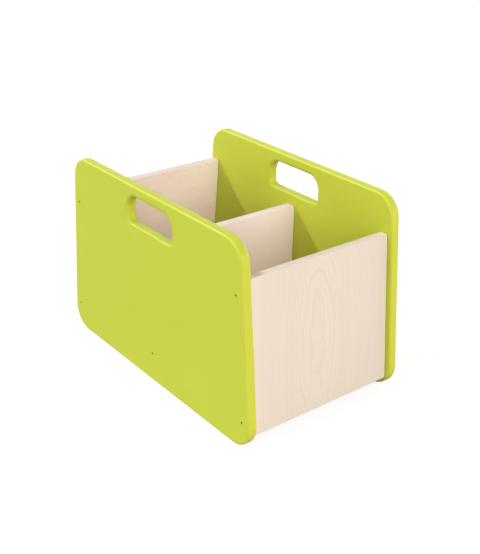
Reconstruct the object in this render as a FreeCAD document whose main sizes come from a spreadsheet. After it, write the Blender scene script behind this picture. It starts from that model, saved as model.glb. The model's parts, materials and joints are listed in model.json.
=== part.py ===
# Picture book bin: two lacquered side panels hold three plywood cross boards and a base.
#
# X runs across the bin, Y from front to rear, and +Z up. The origin is on the floor, in the middle of
# the bin's footprint. The front and rear boards lean in with the side panels' slanted ends, and the
# divider between them stands upright. Lengths are in millimetres and angles in degrees.
import FreeCAD, Part
import os

import Sketcher

# Driving sizes: alias, value, and what it measures.
SIZES = (
    ("panel_height", 420, "side panel, floor to top edge"),
    ("base_length", 655, "side panel along the floor, before its corners are rounded"),
    ("end_lean", 5.1, "angle that both ends lean in from upright"),
    ("side_thickness", 21, "side panel board"),
    ("side_corner_radius", 49, "side panel corners"),
    ("side_roundover", 5, "rounding of the side panel's outer edges"),
    ("inner_width", 350, "clear width between the side panels"),
    ("board_thickness", 18, "plywood of the three cross boards"),
    ("board_roundover", 2, "rounding of the cross boards' edges"),
    ("end_setback", 12, "level distance from the side panel's end in to the front or rear board"),
    ("end_corner_radius", 5, "corners of the front and rear boards"),
    ("end_board_top", 344, "floor to top of the front and rear boards"),
    ("divider_top", 316, "floor to top of the divider"),
    ("divider_corner_radius", 8, "top corners of the divider"),
    ("ground_gap", 25, "floor to underside of the boards"),
    ("base_thickness", 18, "plywood of the base"),
    ("hand_hole_length", 158, "hand hole, front to rear"),
    ("hand_hole_height", 61, "hand hole, bottom to top"),
    ("hand_hole_rail", 22, "wood left above the hand hole"),
    ("hand_hole_top_radius", 30, "upper corners of the hand hole"),
    ("hand_hole_foot_radius", 13, "lower corners of the hand hole"),
    ("hand_hole_roundover", 3, "rounding of the hand hole's edges"),
    ("screw_length", 50, "furniture screw, head to tip"),
    ("screw_head_diameter", 10, "countersunk head"),
    ("screw_neck_diameter", 7, "plain neck inside the side panel"),
    ("screw_core_diameter", 5, "shank inside the cross board"),
    ("screw_tip_length", 3, "tapered tip"),
    ("screw_recess", 0.3, "head below the side panel's face"),
    ("screw_clearance", 0.1, "between the screw and its hole, on the radius"),
    ("screw_tip_gap", 2, "pilot hole beyond the tip"),
    ("hex_key", 4, "hexagon socket across its flats"),
    ("hex_depth", 4, "depth of the hexagon socket"),
    ("low_screw_inset", 34, "lower screw, up from the lower edge of an end board"),
    ("top_screw_inset", 27, "upper screw, down from the top edge of an end board"),
    ("divider_screw_inset", 23, "screw, up from the lower edge of the divider"),
    ("divider_dowel_inset", 28, "upper dowel, down from the top edge of the divider"),
    ("dowel_offset", 50, "dowel from the screw beside it"),
    ("base_dowel_inset", 90, "outer dowels of the base, in from its front and rear ends"),
    ("dowel_diameter", 8, "wooden dowel"),
    ("dowel_length", 30, "wooden dowel"),
    ("dowel_chamfer", 1, "ends of the dowel"),
    ("dowel_side_depth", 12, "dowel bore in the side panel"),
    ("dowel_clearance", 0.1, "glue film round a dowel, on the radius"),
    ("dowel_end_gap", 1, "glue space at each end of a dowel"),
)

COUNTERSINK_ANGLE = 90
SMALL = 1e-6

# An end board's foot is the middle of its lower edge, halfway through its thickness.
END_FOOT_UP = "(Sizes.ground_gap + Sizes.board_thickness / 2 * sin(Sizes.end_lean))"
END_FOOT_OUT = (f"(Sizes.base_length / 2 - Sizes.end_setback - {END_FOOT_UP} * tan(Sizes.end_lean)"
                " - Sizes.board_thickness / 2 / cos(Sizes.end_lean))")
END_BOARD_HEIGHT = ("((Sizes.end_board_top - Sizes.ground_gap"
                    " - Sizes.board_thickness * sin(Sizes.end_lean)) / cos(Sizes.end_lean))")

# The base lies between the end boards, level with their lower edges, and the divider stands on it.
BASE_TOP = "(Sizes.ground_gap + Sizes.base_thickness)"
BASE_MIDDLE = "(Sizes.ground_gap + Sizes.base_thickness / 2)"
DIVIDER_HEIGHT = f"(Sizes.divider_top - {BASE_TOP})"


def inner_reach(height):
    """Level distance from the middle of the bin to an end board's inner face, at a height."""
    return (f"(Sizes.base_length / 2 - Sizes.end_setback - {height} * tan(Sizes.end_lean)"
            " - Sizes.board_thickness / cos(Sizes.end_lean))")


# Fasteners along each joint, as heights above the foot of the board that they hold.
END_SCREWS = ("Sizes.low_screw_inset",
              f"({END_BOARD_HEIGHT} - Sizes.top_screw_inset)")
END_DOWELS = ("(Sizes.low_screw_inset + Sizes.dowel_offset)",
              f"({END_BOARD_HEIGHT} - Sizes.top_screw_inset - Sizes.dowel_offset)")
DIVIDER_SCREWS = ("Sizes.divider_screw_inset",)
DIVIDER_DOWELS = ("(Sizes.divider_screw_inset + Sizes.dowel_offset)",
                  f"({DIVIDER_HEIGHT} - Sizes.divider_dowel_inset)")
BASE_OUTER_DOWEL = f"({inner_reach(BASE_MIDDLE)} - Sizes.base_dowel_inset)"
BASE_DOWELS = (f"(-{BASE_OUTER_DOWEL})", "0", BASE_OUTER_DOWEL)

# Screws and dowels are drawn at the left joint, so these distances are to the left of the middle.
JOINT_PLANE = "(-Sizes.inner_width / 2)"
SCREW_FACE = f"({JOINT_PLANE} - Sizes.side_thickness + Sizes.screw_recess)"
SCREW_TIP = f"({SCREW_FACE} + Sizes.screw_length)"
DOWEL_START = f"({JOINT_PLANE} - Sizes.dowel_side_depth + Sizes.dowel_end_gap)"
DOWEL_END = f"({DOWEL_START} + Sizes.dowel_length)"

# Where a cross board's own foot stands, and how the board is turned about it.
LEANING_IN = (f"placement(vector(0; -{END_FOOT_OUT}; {END_FOOT_UP});"
              " rotation(vector(1; 0; 0); -Sizes.end_lean))")
ON_THE_BASE = f"placement(vector(0; 0; {BASE_TOP}); rotation(vector(1; 0; 0); 0))"


def fill_sheet(doc):
    """Put the driving sizes in the document's spreadsheet."""
    sheet = doc.addObject("Spreadsheet::Sheet", "Sizes")
    for row, (alias, value, meaning) in enumerate(SIZES, start=1):
        sheet.set(f"A{row}", meaning)
        sheet.set(f"B{row}", str(value))
        sheet.setAlias(f"B{row}", alias)
    doc.recompute()


def origin_feature(body, role):
    """The body's own origin plane or axis."""
    return next(item for item in body.Origin.OriginFeatures if item.Role == role)


def new_body(doc, name):
    """An empty body whose label names its file."""
    body = doc.addObject("PartDesign::Body", name)
    body.Label = name
    body.AllowCompound = True
    return body


def new_sketch(body, name, role, shift=("0", "0", "0")):
    """A sketch on one of the body's origin planes, shifted along its own axes."""
    sketch = body.newObject("Sketcher::SketchObject", name)
    sketch.AttachmentSupport = (origin_feature(body, role), [""])
    sketch.MapMode = "FlatFace"
    for axis, distance in zip("xyz", shift):
        sketch.setExpression(f"AttachmentOffset.Base.{axis}", distance)
    return sketch


def pin(sketch, geometry, point, place):
    """Hold one point of a sketch at a pair of expressions, across and up from the sketch's origin."""
    for direction, expression in zip(("DistanceX", "DistanceY"), place):
        value = float(sketch.evalExpression(expression))
        index = sketch.addConstraint(Sketcher.Constraint(direction, -1, 1, geometry, point, value))
        sketch.setExpression(f"Constraints[{index}]", expression)


def draw_outline(sketch, corners):
    """A closed outline of straight lines through the corners."""
    places = [FreeCAD.Vector(*(float(sketch.evalExpression(part)) for part in corner))
              for corner in corners]
    count = len(corners)
    for index in range(count):
        sketch.addGeometry(Part.LineSegment(places[index], places[(index + 1) % count]), False)
    for index in range(count):
        sketch.addConstraint(Sketcher.Constraint("Coincident", index, 2, (index + 1) % count, 1))
    for index, corner in enumerate(corners):
        pin(sketch, index, 1, corner)


def draw_circles(sketch, centres, diameter):
    """A circle of one diameter on each centre."""
    size = float(sketch.evalExpression(diameter))
    for index, centre in enumerate(centres):
        across, up = (float(sketch.evalExpression(part)) for part in centre)
        circle = Part.Circle(FreeCAD.Vector(across, up, 0), FreeCAD.Vector(0, 0, 1), size / 2)
        sketch.addGeometry(circle, False)
        constraint = sketch.addConstraint(Sketcher.Constraint("Diameter", index, size))
        sketch.setExpression(f"Constraints[{constraint}]", diameter)
        pin(sketch, index, 3, centre)


def add_feature(body, kind, name, sketch, **settings):
    """A feature made from a sketch. Text settings are expressions, and other settings are values."""
    feature = body.newObject(f"PartDesign::{kind}", name)
    feature.Profile = sketch
    for setting, value in settings.items():
        if isinstance(value, str):
            feature.setExpression(setting, value)
        else:
            setattr(feature, setting, value)
    body.Document.recompute()
    return feature


def round_edges(body, name, radius, choose):
    """Fillet those edges of the body's last feature that choose accepts."""
    base = body.Tip
    chosen = [f"Edge{index}" for index, edge in enumerate(base.Shape.Edges, start=1) if choose(edge)]
    fillet = body.newObject("PartDesign::Fillet", name)
    fillet.Base = (base, chosen)
    fillet.setExpression("Radius", radius)
    body.Document.recompute()
    return fillet


def mirror_features(body, name, originals, role):
    """Repeat features on the other side of one of the body's origin planes."""
    mirrored = body.newObject("PartDesign::Mirrored", name)
    mirrored.Originals = originals
    mirrored.MirrorPlane = (origin_feature(body, role), [""])
    body.Tip = mirrored
    body.Document.recompute()


def runs_through(edge, axis):
    """Whether a straight edge runs along an axis, 0 for X, 1 for Y and 2 for Z."""
    ends = [vertex.Point for vertex in edge.Vertexes]
    return len(ends) == 2 and abs(abs((ends[1] - ends[0])[axis]) - edge.Length) < SMALL


def lies_flat(edge, axis):
    """Whether an edge lies in a plane square to an axis."""
    box = edge.BoundBox
    return (box.XLength, box.YLength, box.ZLength)[axis] < SMALL


def end_spots(heights):
    """Places on the side panel of fasteners at heights along the leaning front board."""
    return [(f"({height} * sin(Sizes.end_lean) - {END_FOOT_OUT})",
             f"({height} * cos(Sizes.end_lean) + {END_FOOT_UP})") for height in heights]


def upright_spots(heights):
    """Places on the side panel of fasteners at heights along the upright divider."""
    return [("0", f"({height} + {BASE_TOP})") for height in heights]


def base_spots():
    """Places of the dowels along the base."""
    return [(along, BASE_MIDDLE) for along in BASE_DOWELS]


def drill_screw_holes(body, name, spots):
    """Countersunk through holes, from the side panel's outer face."""
    sketch = new_sketch(body, f"{name}_centres", "YZ_Plane", ("0", "0", "-Sizes.side_thickness"))
    draw_circles(sketch, spots, "Sizes.screw_neck_diameter")
    body.Document.recompute()
    return add_feature(body, "Hole", name, sketch,
                       Reversed=True,
                       Diameter="Sizes.screw_neck_diameter + 2 * Sizes.screw_clearance",
                       DepthType=1,
                       HoleCutType=2,
                       HoleCutCustomValues=True,
                       HoleCutDiameter="Sizes.screw_head_diameter"
                                       " + 2 * (Sizes.screw_clearance + Sizes.screw_recess)",
                       HoleCutCountersinkAngle=COUNTERSINK_ANGLE)


def drill_bores(body, name, spots, diameter, depth, plane_shift, inward):
    """Blind bores that start square to X. Inward is True where they run towards +X."""
    sketch = new_sketch(body, f"{name}_centres", "YZ_Plane", ("0", "0", plane_shift))
    draw_circles(sketch, spots, diameter)
    return add_feature(body, "Pocket", name, sketch, Length=depth, Reversed=inward)


def make_side_panel(doc, name):
    """The left side panel, drawn from its inner face outwards."""
    body = new_body(doc, name)
    body.setExpression("Placement.Base.x", JOINT_PLANE)
    half_base = "Sizes.base_length / 2"
    half_top = f"({half_base} - Sizes.panel_height * tan(Sizes.end_lean))"
    outline = new_sketch(body, f"{name}_outline", "YZ_Plane")
    draw_outline(outline, [(f"-{half_base}", "0"), (half_base, "0"),
                           (half_top, "Sizes.panel_height"), (f"-{half_top}", "Sizes.panel_height")])
    add_feature(body, "Pad", f"{name}_blank", outline, Length="Sizes.side_thickness", Reversed=True)
    round_edges(body, f"{name}_corners", "Sizes.side_corner_radius", lambda edge: runs_through(edge, 0))
    round_edges(body, f"{name}_roundover", "Sizes.side_roundover", lambda edge: lies_flat(edge, 0))
    cut_hand_hole(body, name)
    end_screws = drill_screw_holes(body, f"{name}_end_screws", end_spots(END_SCREWS))
    end_dowels = drill_bores(body, f"{name}_end_dowels", end_spots(END_DOWELS),
                             "Sizes.dowel_diameter + 2 * Sizes.dowel_clearance",
                             "Sizes.dowel_side_depth", "0", False)
    mirror_features(body, f"{name}_rear_fasteners", [end_screws, end_dowels], "XZ_Plane")
    drill_screw_holes(body, f"{name}_divider_screw", upright_spots(DIVIDER_SCREWS))
    drill_bores(body, f"{name}_inner_dowels", upright_spots(DIVIDER_DOWELS) + base_spots(),
                "Sizes.dowel_diameter + 2 * Sizes.dowel_clearance", "Sizes.dowel_side_depth", "0", False)
    return body


def cut_hand_hole(body, name):
    """The hand hole: wide round corners above, where fingers hook in, and tighter ones below."""
    top = "(Sizes.panel_height - Sizes.hand_hole_rail)"
    foot = f"({top} - Sizes.hand_hole_height)"
    reach = "(Sizes.hand_hole_length / 2)"
    sketch = new_sketch(body, f"{name}_hand_hole_outline", "YZ_Plane")
    draw_outline(sketch, [(f"-{reach}", foot), (reach, foot), (reach, top), (f"-{reach}", top)])
    add_feature(body, "Pocket", f"{name}_hand_hole", sketch, Type=1)
    half_length = float(sketch.evalExpression(reach))
    foot_height = float(sketch.evalExpression(foot))
    top_height = float(sketch.evalExpression(top))

    def is_corner(edge, height):
        point = edge.Vertexes[0].Point
        return runs_through(edge, 0) and abs(abs(point.y) - half_length) + abs(point.z - height) < SMALL

    def is_rim(edge):
        box = edge.BoundBox
        within = box.YMax < half_length + SMALL and box.ZMin > foot_height - SMALL
        return lies_flat(edge, 0) and within and box.ZMax < top_height + SMALL

    round_edges(body, f"{name}_hand_hole_top", "Sizes.hand_hole_top_radius",
                lambda edge: is_corner(edge, top_height))
    round_edges(body, f"{name}_hand_hole_foot", "Sizes.hand_hole_foot_radius",
                lambda edge: is_corner(edge, foot_height))
    round_edges(body, f"{name}_hand_hole_roundover", "Sizes.hand_hole_roundover", is_rim)


def make_cross_board(doc, name, placement, height, corner_radius, square_foot, screws, dowels):
    """A plywood board between the side panels, drawn upright on its own foot.

    A board with a square foot has only its top corners rounded. Screws and dowels are heights.
    """
    body = new_body(doc, name)
    body.setExpression("Placement", placement)
    outline = new_sketch(body, f"{name}_outline", "XZ_Plane")
    half = "Sizes.inner_width / 2"
    draw_outline(outline, [(f"-{half}", "0"), (half, "0"), (half, height), (f"-{half}", height)])
    add_feature(body, "Pad", f"{name}_blank", outline, Length="Sizes.board_thickness", Midplane=True)

    def is_corner(edge):
        stays_square = square_foot and edge.Vertexes[0].Point.z < SMALL
        return runs_through(edge, 1) and not stays_square

    round_edges(body, f"{name}_corners", corner_radius, is_corner)
    round_edges(body, f"{name}_roundover", "Sizes.board_roundover", lambda edge: lies_flat(edge, 1))
    pilots = drill_bores(body, f"{name}_pilots", [("0", spot) for spot in screws],
                         "Sizes.screw_core_diameter + 2 * Sizes.screw_clearance",
                         f"{SCREW_TIP} - {JOINT_PLANE} + Sizes.screw_tip_gap", JOINT_PLANE, True)
    bores = drill_board_dowels(body, name, [("0", spot) for spot in dowels])
    mirror_features(body, f"{name}_right_fasteners", [pilots, bores], "YZ_Plane")
    return body


def drill_board_dowels(body, name, spots):
    """Dowel bores in the left end of a board."""
    return drill_bores(body, f"{name}_bores", spots,
                       "Sizes.dowel_diameter + 2 * Sizes.dowel_clearance",
                       f"{DOWEL_END} - {JOINT_PLANE} + Sizes.dowel_end_gap", JOINT_PLANE, True)


def make_base(doc, name):
    """The base board, bevelled front and rear to lie against the leaning end boards."""
    body = new_body(doc, name)
    foot_reach = inner_reach("Sizes.ground_gap")
    top_reach = inner_reach(BASE_TOP)
    section = new_sketch(body, f"{name}_section", "YZ_Plane")
    draw_outline(section, [(f"-{foot_reach}", "Sizes.ground_gap"), (foot_reach, "Sizes.ground_gap"),
                           (top_reach, BASE_TOP), (f"-{top_reach}", BASE_TOP)])
    add_feature(body, "Pad", f"{name}_blank", section, Length="Sizes.inner_width", Midplane=True)
    bores = drill_board_dowels(body, name, base_spots())
    mirror_features(body, f"{name}_right_fasteners", [bores], "YZ_Plane")
    return body


def turned_group(doc, name, placement, spots, profile, finish_one=None):
    """Separate pieces turned about X, one on each (along, up) spot and its mirror image on the right."""
    body = new_body(doc, name)
    if placement:
        body.setExpression("Placement", placement)
    features = []
    for index, (along, up) in enumerate(spots, start=1):
        sketch = new_sketch(body, f"{name}_profile_{index}", "XZ_Plane", ("0", up, f"-{along}"))
        draw_outline(sketch, profile)
        features.append(add_feature(body, "Revolution", f"{name}_turned_{index}", sketch,
                                    ReferenceAxis=(sketch, ["H_Axis"]), Angle=360))
        if finish_one:
            features.append(finish_one(body, f"{name}_{index}", along, up))
    mirror_features(body, f"{name}_right", features, "YZ_Plane")
    return body


def cut_hex_socket(body, name, along, up):
    """The hexagon socket in the head of one screw."""
    flat = "Sizes.hex_key / 2"
    corner = "Sizes.hex_key / sqrt(3)"
    half_side = f"{corner} / 2"
    sketch = new_sketch(body, f"{name}_hexagon", "YZ_Plane", (along, up, SCREW_FACE))
    draw_outline(sketch, [(corner, "0"), (half_side, flat), (f"-{half_side}", flat),
                          (f"-{corner}", "0"), (f"-{half_side}", f"-{flat}"), (half_side, f"-{flat}")])
    return add_feature(body, "Pocket", f"{name}_socket", sketch, Length="Sizes.hex_depth", Reversed=True)


def make_screws(doc, name, placement, heights):
    """Furniture screws through the side panels into one cross board."""
    head = "(Sizes.screw_head_diameter / 2)"
    neck = "(Sizes.screw_neck_diameter / 2)"
    core = "(Sizes.screw_core_diameter / 2)"
    under_head = f"({SCREW_FACE} + {head} - {neck})"
    neck_end = f"({JOINT_PLANE} - Sizes.screw_clearance)"
    profile = [(SCREW_FACE, "0"), (SCREW_FACE, head), (under_head, neck), (neck_end, neck),
               (neck_end, core), (f"({SCREW_TIP} - Sizes.screw_tip_length)", core), (SCREW_TIP, "0")]
    spots = [("0", height) for height in heights]
    return turned_group(doc, name, placement, spots, profile, cut_hex_socket)


def make_dowels(doc, name, placement, spots):
    """Chamfered wooden dowels across one joint line."""
    radius = "(Sizes.dowel_diameter / 2)"
    end_radius = f"({radius} - Sizes.dowel_chamfer)"
    profile = [(DOWEL_START, "0"), (DOWEL_START, end_radius),
               (f"({DOWEL_START} + Sizes.dowel_chamfer)", radius),
               (f"({DOWEL_END} - Sizes.dowel_chamfer)", radius),
               (DOWEL_END, end_radius), (DOWEL_END, "0")]
    return turned_group(doc, name, placement, spots, profile)


def mirrored_copy(doc, name, source, normal):
    """The matching piece on the other side of the bin's middle plane."""
    copy = doc.addObject("Part::Mirroring", name)
    copy.Label = name
    copy.Source = source
    copy.Normal = normal
    return copy


def build(doc):
    """Build every piece and return each with the number of solids that it holds."""
    across = FreeCAD.Vector(1, 0, 0)
    front_to_rear = FreeCAD.Vector(0, 1, 0)
    left = make_side_panel(doc, "side_panel_left")
    front = make_cross_board(doc, "front_board", LEANING_IN, END_BOARD_HEIGHT,
                             "Sizes.end_corner_radius", False, END_SCREWS, END_DOWELS)
    front_screws = make_screws(doc, "front_board_screws", LEANING_IN, END_SCREWS)
    front_dowels = make_dowels(doc, "front_board_dowels", LEANING_IN,
                               [("0", height) for height in END_DOWELS])
    divider = make_cross_board(doc, "middle_divider", ON_THE_BASE, DIVIDER_HEIGHT,
                               "Sizes.divider_corner_radius", True, DIVIDER_SCREWS, DIVIDER_DOWELS)
    return (
        (left, 1),
        (mirrored_copy(doc, "side_panel_right", left, across), 1),
        (front, 1),
        (mirrored_copy(doc, "rear_board", front, front_to_rear), 1),
        (divider, 1),
        (make_base(doc, "base_board"), 1),
        (front_screws, 4),
        (mirrored_copy(doc, "rear_board_screws", front_screws, front_to_rear), 4),
        (make_screws(doc, "middle_divider_screws", ON_THE_BASE, DIVIDER_SCREWS), 2),
        (front_dowels, 4),
        (mirrored_copy(doc, "rear_board_dowels", front_dowels, front_to_rear), 4),
        (make_dowels(doc, "middle_divider_dowels", ON_THE_BASE,
                     [("0", height) for height in DIVIDER_DOWELS]), 4),
        (make_dowels(doc, "base_board_dowels", None, base_spots()), 6),
    )


def check(doc, pieces):
    """Stop if a feature failed, a cut missed its solid or a piece isn't whole."""
    for item in doc.Objects:
        if "Invalid" in item.State or "Error" in item.State:
            raise RuntimeError(f"{item.Label} failed: {item.State}")
        if item.TypeId in ("PartDesign::Pocket", "PartDesign::Hole"):
            if item.Shape.Volume > item.BaseFeature.Shape.Volume - SMALL:
                raise RuntimeError(f"{item.Label} cuts nothing")
    for piece, count in pieces:
        if piece.Shape.isNull() or not piece.Shape.isValid():
            raise RuntimeError(f"{piece.Label} has no valid shape")
        if len(piece.Shape.Solids) != count:
            raise RuntimeError(f"{piece.Label} has {len(piece.Shape.Solids)} solids, not {count}")


def main():
    """Build the bin, check it and write one file for each piece."""
    doc = FreeCAD.newDocument("book_bin")
    fill_sheet(doc)
    pieces = build(doc)
    doc.recompute()
    check(doc, pieces)
    os.makedirs("parts", exist_ok=True)
    for piece, _ in pieces:
        piece.Shape.exportStep(f"parts/{piece.Label}.step")
        print(f"{piece.Label}: {piece.Shape.Volume / 1000:.1f} cm3")


main()
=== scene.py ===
# Picture book browser bin: the finishes of its pieces, its threaded screws and grooved dowels, and a
# plain studio. Lengths are metres and angles degrees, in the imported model's frame: +X across the bin
# from the left side panel to the right one, +Y from the front board to the rear board, +Z up.

import json
import logging
import math
from abc import ABC, abstractmethod
from collections.abc import Callable, Iterator, Sequence
from dataclasses import dataclass, field
from enum import Enum
from typing import ClassVar

import bmesh
import bpy
from mathutils import Matrix, Vector

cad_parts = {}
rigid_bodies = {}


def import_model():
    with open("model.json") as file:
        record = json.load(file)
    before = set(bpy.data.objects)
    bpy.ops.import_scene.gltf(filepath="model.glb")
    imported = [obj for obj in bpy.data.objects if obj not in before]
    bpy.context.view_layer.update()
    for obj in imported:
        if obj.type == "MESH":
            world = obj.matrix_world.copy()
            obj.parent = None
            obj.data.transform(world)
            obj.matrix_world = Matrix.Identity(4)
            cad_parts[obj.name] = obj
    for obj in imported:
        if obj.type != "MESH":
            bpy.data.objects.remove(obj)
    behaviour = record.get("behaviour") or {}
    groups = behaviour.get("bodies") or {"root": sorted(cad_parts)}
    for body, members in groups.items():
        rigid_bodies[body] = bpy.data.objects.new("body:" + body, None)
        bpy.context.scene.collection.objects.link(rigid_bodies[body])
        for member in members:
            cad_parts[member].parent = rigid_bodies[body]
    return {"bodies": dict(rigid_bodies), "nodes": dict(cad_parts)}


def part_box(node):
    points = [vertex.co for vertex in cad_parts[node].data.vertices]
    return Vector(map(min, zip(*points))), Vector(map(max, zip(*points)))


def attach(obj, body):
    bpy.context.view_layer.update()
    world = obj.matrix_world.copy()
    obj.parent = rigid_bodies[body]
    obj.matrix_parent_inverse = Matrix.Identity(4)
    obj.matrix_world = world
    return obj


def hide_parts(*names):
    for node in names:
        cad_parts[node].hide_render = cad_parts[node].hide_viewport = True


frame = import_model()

LOG = logging.getLogger("book_bin")

BODY = "root"
NEARLY_NIL = 1e-6
SHARP_EDGE = 32.0

Colour = tuple[float, float, float]

WHITE: Colour = (1.0, 1.0, 1.0)


# ---- Node trees


@dataclass(frozen=True)
class Signal:
    """A value that changes over the surface. Arithmetic on it adds Math nodes to its node tree."""

    graph: "Graph"
    socket: bpy.types.NodeSocket

    def __add__(self, other: "Feed") -> "Signal":
        """This value plus another."""
        return self.graph.math("ADD", self, other)

    def __sub__(self, other: "Feed") -> "Signal":
        """This value less another."""
        return self.graph.math("SUBTRACT", self, other)

    def __mul__(self, other: "Feed") -> "Signal":
        """This value times another."""
        return self.graph.math("MULTIPLY", self, other)

    def __truediv__(self, other: "Feed") -> "Signal":
        """This value divided by another."""
        return self.graph.math("DIVIDE", self, other)

    def squared(self) -> "Signal":
        """This value times itself."""
        return self * self

    def root(self) -> "Signal":
        """The square root."""
        return self.graph.math("SQRT", self)

    def floor(self) -> "Signal":
        """The whole number below."""
        return self.graph.math("FLOOR", self)

    def fraction(self) -> "Signal":
        """What is left above the whole number."""
        return self.graph.math("FRACT", self)

    def inverted(self) -> "Signal":
        """One less this value, for a mask."""
        return self.graph.math("SUBTRACT", 1.0, self)

    def rise(self, start: "Feed", end: "Feed") -> "Signal":
        """A smooth step from 0 at one value to 1 at another."""
        feeds = {"Value": self, "From Min": start, "From Max": end}
        return self.graph.out(self.graph.add("ShaderNodeMapRange", feeds, interpolation_type="SMOOTHSTEP"))


Feed = Signal | float | Sequence[float]


class Graph:
    """Wires up one shader node tree."""

    def __init__(self, tree: bpy.types.ShaderNodeTree) -> None:
        """Takes the tree and empties it."""
        self.tree = tree
        tree.nodes.clear()

    def add(
        self, kind: str, feeds: dict[str | int, Feed] | None = None, **settings: object
    ) -> bpy.types.Node:
        """Adds one node.

        Args:
            kind: The node's Blender type.
            feeds: Signals or plain values for its inputs, by name or by place.
            **settings: The node's own properties, set before its inputs.

        Returns:
            The new node.
        """
        node = self.tree.nodes.new(kind)
        for name, value in settings.items():
            setattr(node, name, value)
        for key, value in (feeds or {}).items():
            self.feed(self.socket(node.inputs, key), value)
        return node

    @staticmethod
    def socket(sockets: bpy.types.bpy_prop_collection, key: str | int) -> bpy.types.NodeSocket:
        """Finds a socket.

        Args:
            sockets: A node's inputs or outputs.
            key: The socket's place, or its name among the sockets that are in use.

        Returns:
            The socket.
        """
        if isinstance(key, int):
            return sockets[key]
        return next(socket for socket in sockets if socket.name == key and socket.enabled)

    def feed(self, socket: bpy.types.NodeSocket, value: Feed) -> None:
        """Links a signal to an input, or sets the input to a plain value.

        Args:
            socket: The input.
            value: The signal or the plain value.
        """
        if isinstance(value, Signal):
            self.tree.links.new(value.socket, socket)
        else:
            socket.default_value = value

    def out(self, node: bpy.types.Node, key: str | int = 0) -> Signal:
        """One of a node's outputs as a signal."""
        return Signal(self, self.socket(node.outputs, key))

    def math(self, operation: str, *values: Feed, clamp: bool = False) -> Signal:
        """One Math node.

        Args:
            operation: Its operation.
            *values: Its inputs, in order.
            clamp: Whether to keep the result between 0 and 1.

        Returns:
            The result.
        """
        node = self.add("ShaderNodeMath", dict(enumerate(values)), operation=operation, use_clamp=clamp)
        return self.out(node)

    def scaled(self, vector: Feed, factors: Sequence[float]) -> Signal:
        """A vector with each axis times a factor of its own."""
        return self.out(self.add("ShaderNodeVectorMath", {0: vector, 1: factors}, operation="MULTIPLY"))

    def facing(self, axis: Feed) -> Signal:
        """How squarely the surface faces an axis.

        Args:
            axis: The axis, as a unit vector.

        Returns:
            1 where the surface faces along it either way, and 0 at right angles to it.
        """
        normal = self.out(self.add("ShaderNodeNewGeometry"), "Normal")
        dot = self.add("ShaderNodeVectorMath", {0: normal, 1: axis}, operation="DOT_PRODUCT")
        return self.math("ABSOLUTE", self.out(dot, "Value"))

    def split(self, vector: Feed) -> tuple[Signal, Signal, Signal]:
        """The three parts of a vector."""
        node = self.add("ShaderNodeSeparateXYZ", {"Vector": vector})
        return self.out(node, "X"), self.out(node, "Y"), self.out(node, "Z")

    def noise(self, vector: Feed, scale: Feed, seed: Feed, detail: float = 2.0, rough: float = 0.5) -> Signal:
        """Smooth noise between 0 and 1.

        Args:
            vector: Where the surface is, in metres.
            scale: Lumps in a metre.
            seed: Which of endless patterns to take.
            detail: How many finer layers are added.
            rough: How strong those finer layers are.

        Returns:
            The noise.
        """
        feeds = {"Vector": vector, "W": seed, "Scale": scale, "Detail": detail, "Roughness": rough}
        return self.out(self.add("ShaderNodeTexNoise", feeds, noise_dimensions="4D"), 0)

    def chance(self, value: Feed) -> Signal:
        """A random number between 0 and 1 that changes with each new value."""
        return self.out(self.add("ShaderNodeTexWhiteNoise", {"W": value}, noise_dimensions="1D"), "Value")

    def mix(self, share: Feed, first: Feed | Colour, second: Feed | Colour) -> Signal:
        """A blend of two colours.

        Args:
            share: How much of the second colour there is.
            first: The first colour.
            second: The second colour.

        Returns:
            The blended colour.
        """
        feeds = {"Factor": share, "A": opaque(first), "B": opaque(second)}
        return self.out(self.add("ShaderNodeMix", feeds, data_type="RGBA"), "Result")

    def bump(self, height: Feed, rise: float, normal: Signal | None = None) -> Signal:
        """The surface's normal, bent by a height map.

        Args:
            height: The height map, from 0 to 1.
            rise: The real height of 1 on it.
            normal: The normal to bend, if it isn't the surface's own.

        Returns:
            The bent normal.
        """
        feeds = {"Strength": 1.0, "Distance": rise, "Height": height}
        if normal:
            feeds["Normal"] = normal
        return self.out(self.add("ShaderNodeBump", feeds))


def opaque(colour: Feed | Colour) -> Feed:
    """A plain colour with its alpha, or the signal as it is."""
    return colour if isinstance(colour, Signal) else (*colour, 1.0)


@dataclass(frozen=True)
class Lumps:
    """Smooth noise of one size. A factor below 1 draws it out along the board or across it."""

    in_a_metre: float
    across: float = 1.0
    along: float = 1.0
    shift: float = 0.0
    detail: float = 2.0
    rough: float = 0.5

    def noise(self, graph: Graph, position: Signal, seed: Signal | float) -> Signal:
        """Adds the noise to a node tree.

        Args:
            graph: The node tree.
            position: Where the surface is, in metres.
            seed: The material's seed, to which this noise adds its own shift.

        Returns:
            The noise, between 0 and 1.
        """
        drawn_out = graph.scaled(position, (self.across, self.across, self.along))
        return graph.noise(drawn_out, self.in_a_metre, seed + self.shift, self.detail, self.rough)


# ---- Effects that several finishes share


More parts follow.
